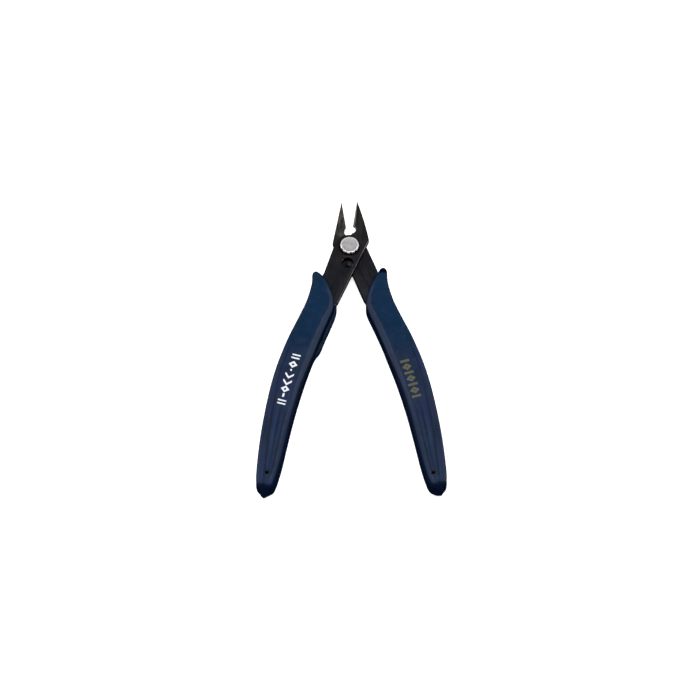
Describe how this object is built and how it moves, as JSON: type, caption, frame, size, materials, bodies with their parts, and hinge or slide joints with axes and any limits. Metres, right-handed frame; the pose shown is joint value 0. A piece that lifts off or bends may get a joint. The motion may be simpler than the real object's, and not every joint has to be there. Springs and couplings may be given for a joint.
{
  "type": "flush cutter",
  "caption": "Small shear cutter for wire and component leads: lapped steel blades on one rivet, a return spring and bowed two-shell plastic grips.",
  "frame": {"origin": "pivot axis at the back face of the rivet collar", "axes": "+Y along the tool towards the jaws, +Z out of the front face along the pivot axis, +X to the right as seen from the front"},
  "size_m": [0.072, 0.1259, 0.009],
  "materials": {
    "black_steel": "black oxide, ground jaws",
    "bright_steel": "bright, finely turned",
    "spring_wire": "drawn music wire",
    "grip_plastic": "dark blue, moulded, satin",
    "white_print": "pad print",
    "gold_print": "pad print"
  },
  "bodies": {
    "rear_half": {"rear_blade": "black_steel", "pivot_rivet": "bright_steel", "pivot_collar": "bright_steel", "front_washer": "black_steel", "rear_washer": "black_steel", "stop_pin": "black_steel", "return_spring": "spring_wire", "right_front_shell": "grip_plastic", "right_rear_shell": "grip_plastic", "right_tang_pin": "bright_steel", "right_tail_pin": "black_steel"},
    "front_half": {"front_blade": "black_steel", "left_front_shell": "grip_plastic", "left_rear_shell": "grip_plastic", "left_tang_pin": "bright_steel", "left_tail_pin": "black_steel"}
  },
  "joints": [
    {"name": "jaw_pivot", "type": "hinge", "parent": "rear_half", "child": "front_half", "pos_m": [0, 0, 0.0034], "axis": [0, 0, 1], "range_deg": [0, 15.6], "stiffness_Nm_per_rad": 1.05, "springref_deg": -5.73, "deforming": ["return_spring"]}
  ]
}
